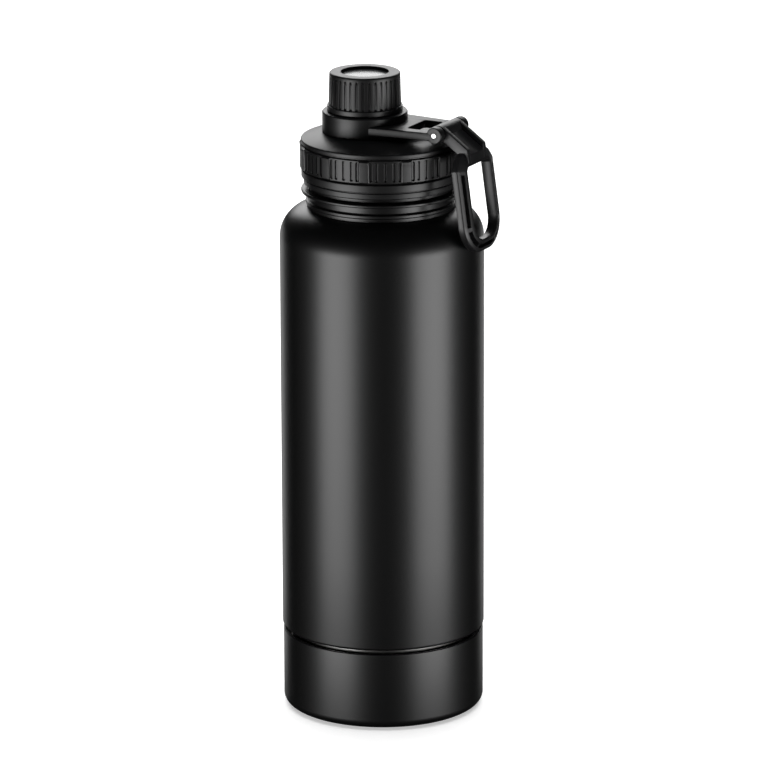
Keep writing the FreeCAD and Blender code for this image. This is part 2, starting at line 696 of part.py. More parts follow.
def carry_loop():
    """Hinge barrel, link and loop as one moulded piece, tilted outward about the hinge axis."""
    tall = number("loop_bottom") + 10
    half = number("barrel_half_width")
    radius = number("barrel_radius")
    barrel = Part.makeCylinder(radius, 2 * half, Vector(0, -half, 0), Vector(0, 1, 0))
    thick = number("link_thickness")
    link = Part.makeBox(tall, 2 * half, thick, Vector(0, -half, radius - thick))
    link.rotate(Vector(0, 0, 0), Vector(0, 1, 0), number("link_slope"))
    reach = tall + number("loop_face_x")
    above = Part.makeBox(reach, 4 * half, tall, Vector(-tall, -2 * half, -number("loop_window_top")))
    piece = barrel.fuse(link.common(above)).fuse(loop_frame()).removeSplitter()
    bore = number("pin_radius + pin_clearance")
    piece = piece.cut(Part.makeCylinder(bore, 3 * half, Vector(0, -1.5 * half, 0), Vector(0, 1, 0)))
    node = doc.addObject("Part::Feature", "carry_loop")
    node.Label = "carry_loop"
    node.Shape = piece
    tilt = Rotation(Vector(0, 1, 0), -number("loop_tilt"))
    node.Placement = Placement(Vector(number("hinge_x"), 0, number("hinge_z")), tilt)


# ---- the spout cap ----

def cap_shell():
    body = new_body("cap_shell", on_spout=True)
    turned(body, [
        ("cap_inner", "cap_low"),
        ("cap_ring_radius - 0.3", "cap_low"),
        ("cap_ring_radius", "cap_low + 0.3"),
        ("cap_ring_radius", "cap_ring_high - 0.3"),
        ("cap_ring_radius - 0.3", "cap_ring_high"),
        ("cap_core_low", "cap_ring_high"),
        ("cap_core_high", "cap_rib_high"),
        ("cap_edge_radius", "cap_rib_high"),
        ("cap_edge_radius", "cap_high - cap_edge_round"),
        ("cap_edge_radius - cap_edge_round", "cap_high", "cap_edge_round", 1),
        ("cap_recess_radius", "cap_high"),
        ("cap_recess_radius", "cap_recess_floor"),
        (0, "cap_recess_floor"),
        (0, "cap_ceiling"),
        ("cap_inner", "cap_ceiling"),
    ])
    sketch = new_sketch(body, "cap_rib", "XY_Plane", lift="cap_ring_high - 0.1")
    outline(sketch, [
        ("cap_core_high - 0.2", "-cap_rib_width / 2"),
        ("cap_rib_radius", "-cap_rib_width / 2 + 0.3"),
        ("cap_rib_radius", "cap_rib_width / 2 - 0.3"),
        ("cap_core_high - 0.2", "cap_rib_width / 2"),
    ])
    rib = padded(body, sketch, "cap_rib_high - cap_ring_high + 0.2")
    repeated(body, rib, CAP_RIBS)


def cap_top_disc():
    body = new_body("cap_top_disc", on_spout=True)
    washer(body, 0, "disc_radius", "cap_recess_floor", "cap_recess_floor + disc_thickness")


def cap_liner():
    body = new_body("cap_liner", on_spout=True)
    turned(body, [
        ("cap_liner_root", "cap_liner_low"),
        ("cap_liner_outer", "cap_liner_low"),
        ("cap_liner_outer", "cap_ceiling - 0.05"),
        (0, "cap_ceiling - 0.05"),
        (0, "cap_liner_disc_low"),
        ("cap_liner_root", "cap_liner_disc_low"),
    ])
    thread_ridge(body, "cap_liner_root", "cap_thread_start - cap_pitch / 2", "cap_pitch", 1, inward=True)


def cap_gasket():
    body = new_body("cap_gasket", on_spout=True)
    washer(body, "spout_inner + 0.1", "cap_gasket_outer", "spout_high + seal_gap",
           "cap_liner_disc_low - seal_gap")


PIECES = (
    outer_shell, inner_vessel, outer_base_plate, vacuum_seal_disc, base_thread_ring,
    base_cup, foot_pad, base_thread_insert, base_gasket,
    lid_shell, grip_ring, lid_liner, lid_insulation, lid_gasket,
    spout_insert, spout_collar, handle_yoke, hinge_pin, hinge_washers, carry_loop,
    cap_shell, cap_top_disc, cap_liner, cap_gasket,
)

for piece in PIECES:
    piece()
doc.recompute()

for item in doc.Objects:
    if "Invalid" in item.State or "Error" in item.State:
        raise RuntimeError(f"{item.Label} of {item.getParentGeoFeatureGroup()} failed: {item.State}")

os.makedirs("parts", exist_ok=True)
for piece in PIECES:
    node = doc.getObject(piece.__name__)
    if node.Shape.isNull() or not node.Shape.isValid():
        raise RuntimeError(f"{node.Label} has no valid shape")
    node.Shape.exportStep(f"parts/{node.Label}.step")
    box = node.Shape.BoundBox
    print(f"{node.Label:20s} solids {len(node.Shape.Solids)} volume {node.Shape.Volume:9.1f}"
          f" z {box.ZMin:.2f} to {box.ZMax:.2f} x {box.XMin:.2f} to {box.XMax:.2f}")
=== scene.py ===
"""The looks of an insulated growler with a spout lid, a carry loop and a screw-on base cup.

Lengths are in millimetres, and become metres where a mesh is made; those of the camera and the lights
are in metres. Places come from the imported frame.
"""
import json
import math

import bmesh
import bpy
from mathutils import Matrix, Vector


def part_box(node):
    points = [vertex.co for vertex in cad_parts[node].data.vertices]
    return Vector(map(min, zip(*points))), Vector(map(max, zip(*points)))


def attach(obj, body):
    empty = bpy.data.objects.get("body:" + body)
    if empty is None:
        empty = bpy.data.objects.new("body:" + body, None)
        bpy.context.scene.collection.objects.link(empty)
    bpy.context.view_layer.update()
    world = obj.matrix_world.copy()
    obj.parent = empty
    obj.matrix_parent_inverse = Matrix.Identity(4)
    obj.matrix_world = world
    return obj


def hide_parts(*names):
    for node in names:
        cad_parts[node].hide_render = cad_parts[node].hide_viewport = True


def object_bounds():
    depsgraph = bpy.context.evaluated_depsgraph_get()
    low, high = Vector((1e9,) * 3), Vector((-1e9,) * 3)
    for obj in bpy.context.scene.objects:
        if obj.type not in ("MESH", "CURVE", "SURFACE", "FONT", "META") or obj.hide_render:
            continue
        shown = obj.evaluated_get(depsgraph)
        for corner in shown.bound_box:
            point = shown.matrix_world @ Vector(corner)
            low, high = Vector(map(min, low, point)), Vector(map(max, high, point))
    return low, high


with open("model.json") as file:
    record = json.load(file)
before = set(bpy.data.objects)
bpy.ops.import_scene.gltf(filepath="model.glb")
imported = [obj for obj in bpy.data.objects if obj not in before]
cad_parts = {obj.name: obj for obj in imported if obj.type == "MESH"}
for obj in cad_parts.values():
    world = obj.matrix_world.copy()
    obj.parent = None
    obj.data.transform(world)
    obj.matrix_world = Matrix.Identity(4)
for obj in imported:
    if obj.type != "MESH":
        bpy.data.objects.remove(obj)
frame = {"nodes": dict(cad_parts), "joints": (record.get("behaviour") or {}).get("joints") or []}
cad_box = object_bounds()

MM = 0.001
TURN_STEPS = 192
HINGE_STEPS = 64
PIN_STEPS = 48
ARC_STEP = math.radians(9)
NEARLY_STRAIGHT = 0.01
SHARP_ANGLE = math.radians(38)
ON_AXIS = 1e-6
WELD_DISTANCE = 1e-7


# ---- places read from the frame ----

def low(node):
    """Lowest corner of a CAD node in millimetres."""
    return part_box(node)[0] / MM


def high(node):
    """Highest corner of a CAD node in millimetres."""
    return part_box(node)[1] / MM


def joint_place(name):
    """Point on a joint's axis in millimetres."""
    for joint in frame["joints"]:
        if joint["name"] == name:
            return Vector(joint["pos_m"]) / MM
    raise KeyError(name)


SPOUT_X = joint_place("cap_turn").x
HINGE = joint_place("loop_swing")
BODY_RADIUS = high("outer_shell").x
CUP_RADIUS = high("base_cup").x
COLLAR_RADIUS = high("spout_collar").x - SPOUT_X
GRIP_LOW = low("grip_ring").z
GRIP_HIGH = high("grip_ring").z


# ---- outlines ----

def rounded(corners, closed=True):
    """Joins (across, up, radius) corners, turning each corner that has a radius into an arc."""
    points = []
    count = len(corners)
    for index, corner in enumerate(corners):
        here = Vector(corner[:2])
        radius = corner[2] if len(corner) > 2 else 0
        at_end = not closed and index in (0, count - 1)
        if radius == 0 or at_end:
            points.append(tuple(here))
            continue
        before = Vector(corners[index - 1][:2]) - here
        after = Vector(corners[(index + 1) % count][:2]) - here
        angle = before.angle(after)
        if math.pi - angle < NEARLY_STRAIGHT:
            points.append(tuple(here))
            continue
        reach = radius / math.tan(angle / 2)
        start = here + before.normalized() * reach
        end = here + after.normalized() * reach
        middle = before.normalized() + after.normalized()
        centre = here + middle.normalized() * radius / math.sin(angle / 2)
        sweep = (start - centre).angle_signed(end - centre)
        steps = max(2, math.ceil(abs(sweep) / ARC_STEP))
        for step in range(steps + 1):
            spoke = Matrix.Rotation(-sweep * step / steps, 2) @ (start - centre)
            points.append(tuple(centre + spoke))
    return points


def arc(centre, radius, start, end, steps):
    """Points on a circle from one angle to another, in degrees."""
    points = []
    for step in range(steps + 1):
        angle = math.radians(start + (end - start) * step / steps)
        points.append((centre[0] + radius * math.cos(angle), centre[1] + radius * math.sin(angle)))
    return points


def smooth_step(value, start, end):
    """Rises smoothly from 0 at start to 1 at end."""
    share = min(max((value - start) / (end - start), 0), 1)
    return share * share * (3 - 2 * share)


# ---- meshes ----

def place_piece(name, shape, body, material, node):
    """Makes an object from a (vertices, faces) shape, and puts it on a CAD body in place of a node."""
    vertices, faces = shape
    mesh = bpy.data.meshes.new(name)
    mesh.from_pydata([Vector(point) * MM for point in vertices], [], faces)
    work = bmesh.new()
    work.from_mesh(mesh)
    bmesh.ops.remove_doubles(work, verts=work.verts, dist=WELD_DISTANCE)
    bmesh.ops.recalc_face_normals(work, faces=work.faces)
    work.to_mesh(mesh)
    work.free()
    mesh.shade_smooth()
    mesh.set_sharp_from_angle(angle=SHARP_ANGLE)
    piece = bpy.data.objects.new(name, mesh)
    bpy.context.scene.collection.objects.link(piece)
    mesh.materials.append(material)
    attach(piece, body)
    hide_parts(node)


def turned(section, centre_x=0, steps=TURN_STEPS, relief=None, closed=True):
    """Turns a (radius, height) section about an upright axis.

    Where there is a relief, relief(angle, radius, height) gives the radius instead.
    """
    vertices = []
    rows = []
    for radius, height in section:
        if radius < ON_AXIS:
            rows.append([len(vertices)] * steps)
            vertices.append((centre_x, 0, height))
            continue
        row = []
        for step in range(steps):
            angle = 2 * math.pi * step / steps
            reach = relief(angle, radius, height) if relief else radius
            row.append(len(vertices))
            vertices.append((centre_x + reach * math.cos(angle), reach * math.sin(angle), height))
        rows.append(row)
    faces = []
    last = len(rows) if closed else len(rows) - 1
    for index in range(last):
        lower = rows[index]
        upper = rows[(index + 1) % len(rows)]
        for step in range(steps):
            after = (step + 1) % steps
            face = []
            for corner in (lower[step], lower[after], upper[after], upper[step]):
                if corner not in face:
                    face.append(corner)
            if len(face) > 2:
                faces.append(face)
    return vertices, faces


def crosswise(section, steps=HINGE_STEPS, closed=True):
    """Turns a (radius, along) section about the hinge's axis, which runs along Y."""
    vertices, faces = turned(section, steps=steps, closed=closed)
    return [(HINGE.x + x, z, HINGE.z + y) for x, y, z in vertices], faces


def slab(outlines, start, end, edge):
    """A plate from closed outlines, the first its rim and the others holes, with rounded edges."""
    curve = bpy.data.curves.new("slab", "CURVE")
    curve.dimensions = "2D"
    curve.fill_mode = "BOTH"
    curve.extrude = (end - start) / 2 - edge
    curve.bevel_depth = edge
    curve.offset = -edge
    curve.bevel_resolution = 2
    for outline in outlines:
        spline = curve.splines.new("POLY")
        spline.points.add(len(outline) - 1)
        for point, (across, up) in zip(spline.points, outline):
            point.co = (across, up, 0, 1)
        spline.use_cyclic_u = True
    carrier = bpy.data.objects.new("slab", curve)
    mesh = bpy.data.meshes.new_from_object(carrier)
    middle = (start + end) / 2
    vertices = [(v.co.x, v.co.y, v.co.z + middle) for v in mesh.vertices]
    faces = [tuple(face.vertices) for face in mesh.polygons]
    bpy.data.objects.remove(carrier)
    bpy.data.curves.remove(curve)
    bpy.data.meshes.remove(mesh)
    return vertices, faces


def joined(*shapes):
    """Several (vertices, faces) shapes as one."""
    vertices = []
    faces = []
    for points, sides in shapes:
        first = len(vertices)
        vertices += points
        faces += [[first + corner for corner in side] for side in sides]
    return vertices, faces


THREAD_DEPTH = 1.0
THREAD_BITE = 0.2
THREAD_HALF_FOOT = 0.75
THREAD_HALF_CREST = 0.35
THREAD_TAPER = 12


def thread(radius, bottom, pitch, turns):
    """A helical ridge round a neck, which rises from nothing at both ends."""
    section = (
        (-THREAD_BITE, -THREAD_HALF_FOOT),
        (THREAD_DEPTH, -THREAD_HALF_CREST),
        (THREAD_DEPTH, THREAD_HALF_CREST),
        (-THREAD_BITE, THREAD_HALF_FOOT),
    )
    sides = len(section)
    steps = int(TURN_STEPS * turns)
    vertices = []
    faces = []
    for step in range(steps + 1):
        angle = 2 * math.pi * turns * step / steps
        swell = min(1, THREAD_TAPER * min(step, steps - step) / steps)
        for out, up in section:
            reach = radius + (out * swell if out > 0 else out)
            height = bottom + pitch * turns * step / steps + up
            vertices.append((reach * math.cos(angle), reach * math.sin(angle), height))
    for step in range(steps):
        start = step * sides
        end = start + sides
        for side in range(sides):
            after = (side + 1) % sides
            faces.append([start + side, start + after, end + after, end + side])
    faces.append(list(range(sides)))
    faces.append(list(range(steps * sides, (steps + 1) * sides)))
    return vertices, faces


# ---- materials ----

def finish(name, colour, roughness, grain_size, grain_depth, metallic=0.0, specular=0.5):
    """A material with a fine moulded, sprayed or brushed grain."""
    material = bpy.data.materials.new(name)
    material.use_nodes = True
    nodes = material.node_tree.nodes
    links = material.node_tree.links
    shader = nodes["Principled BSDF"]
    shader.inputs["Base Color"].default_value = (*colour, 1)
    shader.inputs["Roughness"].default_value = roughness
    shader.inputs["Metallic"].default_value = metallic
    shader.inputs["Specular IOR Level"].default_value = specular
    place = nodes.new("ShaderNodeTexCoord")
    grain = nodes.new("ShaderNodeTexNoise")
    grain.inputs["Scale"].default_value = 1 / (grain_size * MM)
    grain.inputs["Detail"].default_value = 2
    bump = nodes.new("ShaderNodeBump")
    bump.inputs["Strength"].default_value = 0.5
    bump.inputs["Distance"].default_value = grain_depth * MM
    links.new(place.outputs["Object"], grain.inputs["Vector"])
    links.new(grain.outputs["Fac"], bump.inputs["Height"])
    links.new(bump.outputs["Normal"], shader.inputs["Normal"])
    return material


BLACK_COAT = finish("black_coat", (0.0006, 0.0006, 0.0007), 0.38, 0.5, 0.010)
LID_PLASTIC = finish("lid_plastic", (0.0025, 0.0025, 0.0027), 0.42, 0.4, 0.012)
LOOP_PLASTIC = finish("loop_plastic", (0.004, 0.004, 0.0043), 0.40, 0.4, 0.012)
CAP_DISC = finish("cap_disc", (0.02, 0.021, 0.022), 0.26, 1.5, 0.004)
STEEL = finish("steel", (0.56, 0.56, 0.55), 0.32, 0.6, 0.008, metallic=1.0)
PIN_STEEL = finish("pin_steel", (0.78, 0.78, 0.77), 0.45, 0.5, 0.003, metallic=1.0)
LINER_PLASTIC = finish("liner_plastic", (0.012, 0.012, 0.013), 0.4, 0.5, 0.008)
FOAM = finish("foam", (0.75, 0.74, 0.70), 0.9, 0.8, 0.12)
GASKET = finish("gasket", (0.62, 0.62, 0.60), 0.55, 0.6, 0.010)
FOOT_RUBBER = finish("foot_rubber", (0.012, 0.012, 0.012), 0.7, 0.7, 0.06)

CARRIED_OVER = {
    "inner_vessel": STEEL,
    "outer_base_plate": STEEL,
    "vacuum_seal_disc": STEEL,
    "base_thread_ring": STEEL,
    "base_thread_insert": LINER_PLASTIC,
    "base_gasket": GASKET,
    "lid_liner": LINER_PLASTIC,
    "lid_insulation": FOAM,
    "lid_gasket": GASKET,
    "spout_insert": LINER_PLASTIC,
    "hinge_washers": PIN_STEEL,
    "cap_liner": LINER_PLASTIC,
    "cap_gasket": GASKET,
}


def paint_carried_nodes():
    """Gives each CAD node that stays in view its material."""
    for node, material in CARRIED_OVER.items():
        mesh = frame["nodes"][node].data
        mesh.materials.clear()
        mesh.materials.append(material)


# ---- the bottle ----

SHELL_WALL = 1
SHOULDER_HEIGHT = 215
SHOULDER_RADIUS = 14
NECK_RADIUS = 33
NECK_ROOT = 32.3
NECK_INNER = 31.3
BEAD_RADIUS = 33.45
FLANGE_RADIUS = 35.4
NECK_STEP = 239
MOUTH_CORE = 29.5
MOUTH_INNER = 28.5
NECK_THREAD_START = 243
NECK_THREAD_PITCH = 4
NECK_THREAD_TURNS = 1


def bottle_shell():
    """The coated outer shell: rolled lower edge, body, shoulder, neck with its beads, and mouth."""
    bottom = low("outer_shell").z
    lip = high("outer_shell").z
    shoulder_end = math.degrees(math.acos((NECK_RADIUS - BODY_RADIUS + SHOULDER_RADIUS) / SHOULDER_RADIUS))
    inner = BODY_RADIUS - SHELL_WALL
    section = rounded([
        (42.3, bottom + 0.8),
        (42.3, bottom, 0.3),
        (BODY_RADIUS, bottom, 1.4),
        (BODY_RADIUS, bottom + 40),
        (BODY_RADIUS, SHOULDER_HEIGHT - 40),
        (BODY_RADIUS, SHOULDER_HEIGHT - 1),
    ], closed=False)
    section += arc((BODY_RADIUS - SHOULDER_RADIUS, SHOULDER_HEIGHT), SHOULDER_RADIUS, 0, shoulder_end, 16)
    section += rounded([
        (NECK_RADIUS, 229.0),
        (NECK_RADIUS, 230.2, 0.25),
        (BEAD_RADIUS, 230.6, 0.35),
        (BEAD_RADIUS, 231.8, 0.35),
        (NECK_ROOT, 232.3, 0.5),
        (NECK_ROOT, 235.4, 0.5),
        (FLANGE_RADIUS, 235.6, 0.5),
        (FLANGE_RADIUS, 237.0, 0.5),
        (NECK_ROOT, 237.4, 0.4),
        (NECK_ROOT, NECK_STEP, 0.3),
        (MOUTH_CORE, NECK_STEP, 0.3),
        (MOUTH_CORE, lip),
        (MOUTH_INNER, lip),
        (MOUTH_INNER, NECK_STEP - SHELL_WALL),
        (NECK_INNER, NECK_STEP - SHELL_WALL),
        (NECK_INNER, 228.3),
        (inner - 6, 222),
        (inner, SHOULDER_HEIGHT - 1),
        (inner, bottom + 1.6),
    ], closed=False)
    ridge = thread(MOUTH_CORE, NECK_THREAD_START, NECK_THREAD_PITCH, NECK_THREAD_TURNS)
    shape = joined(turned(section), ridge)
    place_piece("bottle_shell", shape, "bottle", BLACK_COAT, "outer_shell")


# ---- the base cup ----

CUP_WALL = 1.1
CUP_CORNER = 4
CUP_FLOOR = 1.7
CUP_FLOOR_TOP = 2.9
FOOT_PAD_SEAT = 38.6
FOOT_PAD_RINGS = (34, 29, 24, 19)
FOOT_PAD_RING_DEPTH = 0.5
FOOT_PAD_EDGE = 0.4


def base_cup_shell():
    """The cup that screws on below the seam, recessed underneath for the foot pad."""
    bottom = low("base_cup").z
    rim = high("base_cup").z
    inner = CUP_RADIUS - CUP_WALL
    section = rounded([
        (0, CUP_FLOOR),
        (FOOT_PAD_SEAT, CUP_FLOOR),
        (FOOT_PAD_SEAT, bottom, 0.3),
        (CUP_RADIUS, bottom, CUP_CORNER),
        (CUP_RADIUS, rim, 0.5),
        (inner, rim, 0.5),
        (inner, CUP_FLOOR_TOP, 2.9),
        (0, CUP_FLOOR_TOP),
    ], closed=False)
    shape = turned(section, closed=False)
    place_piece("base_cup_shell", shape, "base", BLACK_COAT, "base_cup")


def foot_pad_disc():
    """The non-slip pad, with shallow rings moulded in its underside."""
    radius = high("foot_pad").x
    top = high("foot_pad").z
    section = [(0, top), (radius, top), (radius, FOOT_PAD_EDGE), (radius - FOOT_PAD_EDGE, 0)]
    for ring in FOOT_PAD_RINGS:
        section += [
            (ring + 0.9, 0),
            (ring + 0.6, FOOT_PAD_RING_DEPTH),
            (ring - 0.6, FOOT_PAD_RING_DEPTH),
            (ring - 0.9, 0),
        ]
    section.append((0, 0))
    shape = turned(section, closed=False)
    place_piece("foot_pad_disc", shape, "base", FOOT_RUBBER, "foot_pad")


# ---- the lid ----

SKIRT_RADIUS = 34.3
BAND_RADIUS = 35.3
COVER_RADIUS = 35.5
GRIP_SEAT = 34.2
DOME_TOP_RADIUS = 27.5
DOME_ROUND = 30


def lid_cover():
    """Skirt with its bands, the recess behind the grip ring, and the low domed cover."""
    skirt = low("lid_shell").z
    crown = high("lid_shell").z
    outer = rounded([
        (32.5, skirt),
        (SKIRT_RADIUS, skirt, 0.3),
        (SKIRT_RADIUS, 241.8, 0.3),
        (33.8, 241.9, 0.1),
        (33.8, 242.3, 0.1),
        (BAND_RADIUS, 242.5, 0.35),
        (BAND_RADIUS, 245.8, 0.5),
        (34.4, 246.2, 0.2),
        (GRIP_SEAT, GRIP_LOW),
        (GRIP_SEAT, GRIP_HIGH + 0.1),
        (35.0, GRIP_HIGH + 0.1, 0.1),
        (35.0, 257.6, 0.1),
        (COVER_RADIUS, 257.7, 0.2),
        (COVER_RADIUS, 259.4, 0.7),
        (DOME_TOP_RADIUS, crown, DOME_ROUND),
        (0, crown),
    ], closed=False)
    inside = [(0, crown - 0.8), (32.5, 257.3)]
    place_piece("lid_cover", turned(outer + inside), "lid", LID_PLASTIC, "lid_shell")


GRIP_GROUPS = 12
GRIP_PHASE = 15.5
GRIP_ROWS = 44
GRIP_STEPS_PER_GROUP = 120
GRIP_EDGE = 0.35
SLOT_ANGLES = (4.9, 9, 15, 21, 25.1)
SLOT_HALF_WIDTH = 0.6
SLOT_HALF_LENGTH = 3.6
SLOT_FLOOR = 35.1
LAND_RADIUS = 35.9
GRIP_PAD_RADIUS = 36.4
GRIP_PAD_FLARE = 0.25


def grip_relief(angle, radius, height):
    """Radius of the grip: wide pads, and slots with round ends between narrow lands."""
    if radius < LAND_RADIUS - 0.1:
        return radius
    group = 360 / GRIP_GROUPS
    turn = (math.degrees(angle) - GRIP_PHASE) % group
    middle = (GRIP_LOW + GRIP_HIGH) / 2
    per_degree = math.radians(1) * LAND_RADIUS
    reach = radius
    for slot_angle in SLOT_ANGLES:
        across = (turn - slot_angle) * per_degree
        beyond = max(abs(height - middle) - SLOT_HALF_LENGTH, 0)
        distance = math.hypot(across, beyond) - SLOT_HALF_WIDTH
        reach -= (LAND_RADIUS - SLOT_FLOOR) * (1 - smooth_step(distance, -0.18, 0.12))
    from_pad = min(turn, group - turn) * per_degree
    pad = 1 - smooth_step(from_pad, 1.9, 2.4)
    tall = 1 - smooth_step(abs(height - middle), 4.5, 5.0)
    flare = GRIP_PAD_FLARE * smooth_step(height, middle + 1.5, middle + 4.6)
    return reach + (GRIP_PAD_RADIUS - LAND_RADIUS + flare) * pad * tall


def grip():
    """The ring round the lid that is held to screw it."""
    wall = GRIP_HIGH - GRIP_LOW
    section = [(GRIP_SEAT, GRIP_LOW), (LAND_RADIUS - GRIP_EDGE, GRIP_LOW)]
    for row in range(GRIP_ROWS + 1):
        section.append((LAND_RADIUS, GRIP_LOW + GRIP_EDGE + (wall - 2 * GRIP_EDGE) * row / GRIP_ROWS))
    section += [(LAND_RADIUS - GRIP_EDGE, GRIP_HIGH), (GRIP_SEAT, GRIP_HIGH)]
    shape = turned(section, steps=GRIP_GROUPS * GRIP_STEPS_PER_GROUP, relief=grip_relief)
    place_piece("grip", shape, "lid", LID_PLASTIC, "grip_ring")


SPOUT_BORE = 12.45
COLLAR_CORE = 15.5
YOKE_BORE = 15.6
ARM_LOW = 263.5
ARM_HIGH = 267.0
ARM_ROOT = 2.0
ARM_END = HINGE.x - 1.6
ARM_CLEFT = 28.4
ARM_EDGE = 0.45
ARM_WINDOW_NEAR = 17
ARM_WINDOW_FAR = 26
ARM_WINDOW_HALF = 8.5
ARM_WINDOW_CORNER = 1.5
EAR_INNER = 9.5
EAR_OUTER = 13.3
EAR_RADIUS = 3.6
EAR_BORE = 1.45
PIN_RADIUS = 1.2


def collar():
    """The flanged collar round the spout."""
    bottom = low("spout_collar").z
    top = high("spout_collar").z
    section = rounded([
        (SPOUT_BORE, bottom),
        (COLLAR_CORE, bottom),
        (COLLAR_CORE, ARM_HIGH),
        (COLLAR_RADIUS, ARM_HIGH),
        (COLLAR_RADIUS, top, 0.7),
        (SPOUT_BORE, top, 0.3),
    ])
    place_piece("collar", turned(section, SPOUT_X), "lid", LID_PLASTIC, "spout_collar")


def arm_outline():
    """The arm from above: forked at the hinge, with a root that curves round the spout's bore."""
    root_half = math.sqrt(COLLAR_RADIUS ** 2 - (ARM_ROOT - SPOUT_X) ** 2) + 0.2
    outline = rounded([
        (ARM_CLEFT, -EAR_INNER, 0.8),
        (ARM_END, -EAR_INNER, 0.6),
        (ARM_END, -EAR_OUTER, 0.6),
        (ARM_ROOT, -root_half),
        (ARM_ROOT, root_half),
        (ARM_END, EAR_OUTER, 0.6),
        (ARM_END, EAR_INNER, 0.6),
        (ARM_CLEFT, EAR_INNER, 0.8),
    ])
    bore = arc((SPOUT_X, 0), YOKE_BORE, -57, 57, 24)
    roots = [index for index, point in enumerate(outline) if point[0] == ARM_ROOT]
    return outline[:roots[0] + 1] + bore + outline[roots[1]:]


def ear(side):
    """One of the arm's two round ends, on side -1 or 1."""
    near, far = sorted((side * EAR_INNER, side * EAR_OUTER))
    return crosswise(rounded([
        (EAR_BORE, near),
        (EAR_RADIUS, near, 0.4),
        (EAR_RADIUS, far, 0.4),
        (EAR_BORE, far, 0.1),
    ]))


def yoke():
    """Ring under the collar, with an arm that carries the hinge ears."""
    bottom = high("lid_shell").z - 0.3
    top = ARM_HIGH - 0.01
    ring = turned(rounded([
        (YOKE_BORE, bottom),
        (COLLAR_RADIUS, bottom),
        (COLLAR_RADIUS, top),
        (YOKE_BORE, top),
    ]), SPOUT_X)
    window = rounded([
        (ARM_WINDOW_NEAR, -ARM_WINDOW_HALF, ARM_WINDOW_CORNER),
        (ARM_WINDOW_FAR, -ARM_WINDOW_HALF, ARM_WINDOW_CORNER),
        (ARM_WINDOW_FAR, ARM_WINDOW_HALF, ARM_WINDOW_CORNER),
        (ARM_WINDOW_NEAR, ARM_WINDOW_HALF, ARM_WINDOW_CORNER),
    ])
    arm = slab([arm_outline(), window], ARM_LOW, ARM_HIGH, ARM_EDGE)
    shape = joined(ring, arm, ear(-1), ear(1))
    place_piece("yoke", shape, "lid", LID_PLASTIC, "handle_yoke")


def pin():
    """Bright hinge pin with flat ends and rounded rims."""
    end = high("hinge_pin").y
    section = rounded([
        (0, -end),
        (PIN_RADIUS, -end, 0.2),
        (PIN_RADIUS, end, 0.2),
        (0, end),
    ], closed=False)
    shape = crosswise(section, PIN_STEPS, closed=False)
    place_piece("pin", shape, "lid", PIN_STEEL, "hinge_pin")


# ---- the carry loop ----

LOOP_TILT = math.radians(8.0)
FACE_X = 13.2
LOOP_THICKNESS = 4.9
RIM_THICKNESS = 3.0
HALF_WIDTH = 17.1
LEG_WIDTH = 6.3
LOOP_EDGE = 0.4
TOP_HALF = 9.9
TOP_DROP = 9.0
CORNER_HALF = 14.2
CORNER_DROP = 11.4
SHOULDER_DROP = 15.4
LOOP_BOTTOM = 53.6
FOOT_RADIUS = 14.0
BEND_STEPS = 30
WINDOW_TOP = 15.0
WINDOW_BOTTOM = 48.0
WINDOW_CHAMFER = 1.6
WINDOW_ROUND = 7.8

SLOPE_END = 0.86
POCKET_OUTER = 0.30
POCKET_INNER = 0.66
POCKET_FLOOR = 3.3
POCKET_DRAFT = 0.06
LEG_POCKET_TOP = 17.8
LEG_POCKET_END = 41.0
LEG_POCKET_SOFT = 0.35
LEG_REACH = 3.4
BEND_POCKET_START = 19
BEND_POCKET_END = 60
FOOT_POCKET_START = 69
BEND_SOFT = 2

BARREL_RADIUS = 3.6
BARREL_HALF = 8.9
BARREL_BORE = 1.25
LINK_SLOPE = math.radians(43.6)
LINK_THICKNESS = 4.8
LINK_CHEEK = 2.6
LINK_RECESS = 1.9
LINK_OVERLAP = 0.3


def from_loop(out, across, down):
    """A point given outward, across and down from the hinge, turned by the loop's tilt."""
    cos = math.cos(LOOP_TILT)
    sin = math.sin(LOOP_TILT)
    return (HINGE.x + out * cos + down * sin, across, HINGE.z + out * sin - down * cos)


def spread(outline, counts):
    """Splits each side of a closed outline into its count of equal steps."""
    points = []
    for (start, end), count in zip(zip(outline, outline[1:] + outline[:1]), counts):
        for step in range(count):
            points.append(Vector(start).lerp(Vector(end), step / count))
    return points


def leg_outlines():
    """Matching points round the loop's outside and round its opening, as (across, down)."""
    half = HALF_WIDTH - LEG_WIDTH
    outside = [(-TOP_HALF, TOP_DROP), (-CORNER_HALF, CORNER_DROP), (-HALF_WIDTH, SHOULDER_DROP)]
    inside = [
        (-half + WINDOW_CHAMFER, WINDOW_TOP),
        (-half + 0.7, WINDOW_TOP + 0.7),
        (-half, WINDOW_TOP + WINDOW_CHAMFER),
    ]
    for step in range(BEND_STEPS + 1):
        angle = math.pi / 2 * step / BEND_STEPS
        left = 1 - math.cos(angle)
        drop = 1 - math.sin(angle)
        outside.append((-HALF_WIDTH + FOOT_RADIUS * left, LOOP_BOTTOM - FOOT_RADIUS * drop))
        inside.append((-half + WINDOW_ROUND * left, WINDOW_BOTTOM - WINDOW_ROUND * drop))
    outside += [(-across, down) for across, down in reversed(outside)]
    inside += [(-across, down) for across, down in reversed(inside)]
    bend = [1] * BEND_STEPS
    counts = [3, 3, 60] + bend + [16] + bend + [60, 3, 3, 10]
    return spread(outside, counts), spread(inside, counts)


